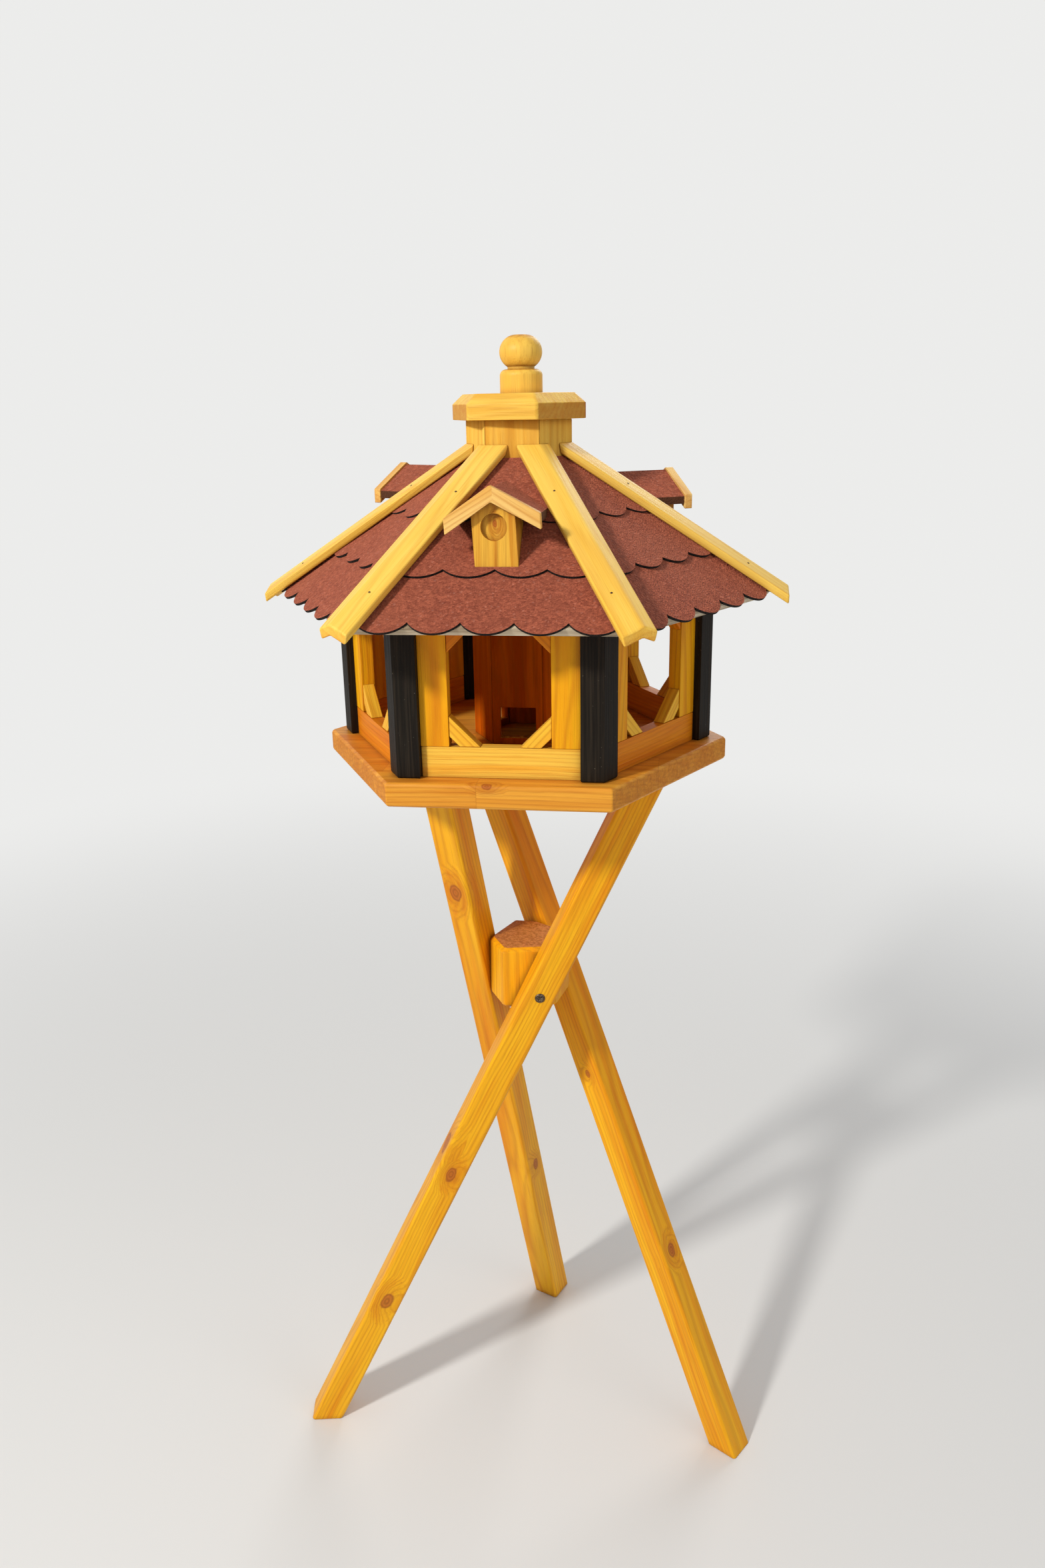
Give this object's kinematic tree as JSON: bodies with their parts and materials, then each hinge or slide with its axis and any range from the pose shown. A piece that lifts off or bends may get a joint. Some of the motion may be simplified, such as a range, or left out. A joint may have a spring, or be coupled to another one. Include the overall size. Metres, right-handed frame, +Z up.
{
  "type": "hexagonal bird feeder on a stand",
  "caption": "Hexagonal wooden bird feeder house on a crossed-leg stand, with scalloped felt roof, small dormers, open framed sides and a central seed silo under a capped cupola.",
  "frame": {"origin": "on the level ground under the axis of the house", "axes": "+Z up, the front side and its dormer face -Y, two corners of the house lie on X"},
  "size_m": [0.632, 0.5712, 1.4619],
  "materials": {
    "stained_wood": "honey wood stain, satin",
    "black_wood": "black stain, satin",
    "roofing_felt": "red-brown mineral-coated bitumen felt"
  },
  "bodies": {
    "root": {"leg_front": "stained_wood", "leg_right": "stained_wood", "leg_rear": "stained_wood", "hub_block": "stained_wood", "base_plate": "stained_wood", "corner_posts": "black_wood", "stiles_front": "stained_wood", "stiles_front_right": "stained_wood", "stiles_back_right": "stained_wood", "stiles_back": "stained_wood", "stiles_back_left": "stained_wood", "stiles_front_left": "stained_wood", "bottom_rails": "stained_wood", "top_rails": "stained_wood", "lower_braces": "stained_wood", "upper_braces": "stained_wood", "roof_panel_front": "stained_wood", "roof_panel_front_right": "stained_wood", "roof_panel_back_right": "stained_wood", "roof_panel_back": "stained_wood", "roof_panel_back_left": "stained_wood", "roof_panel_front_left": "stained_wood", "shingles_front": "roofing_felt", "shingles_front_right": "roofing_felt", "shingles_back_right": "roofing_felt", "shingles_back": "roofing_felt", "shingles_back_left": "roofing_felt", "shingles_front_left": "roofing_felt", "hip_strip_front_right": "stained_wood", "hip_strip_right": "stained_wood", "hip_strip_back_right": "stained_wood", "hip_strip_back_left": "stained_wood", "hip_strip_left": "stained_wood", "hip_strip_front_left": "stained_wood", "dormer_body_front": "stained_wood", "dormer_body_back_right": "stained_wood", "dormer_body_back_left": "stained_wood", "dormer_roof_front": "roofing_felt", "dormer_roof_back_right": "roofing_felt", "dormer_roof_back_left": "roofing_felt", "barge_boards_front": "stained_wood", "barge_boards_back_right": "stained_wood", "barge_boards_back_left": "stained_wood", "silo_boards": "stained_wood", "silo_cap": "stained_wood", "finial": "stained_wood"}
  },
  "joints": []
}
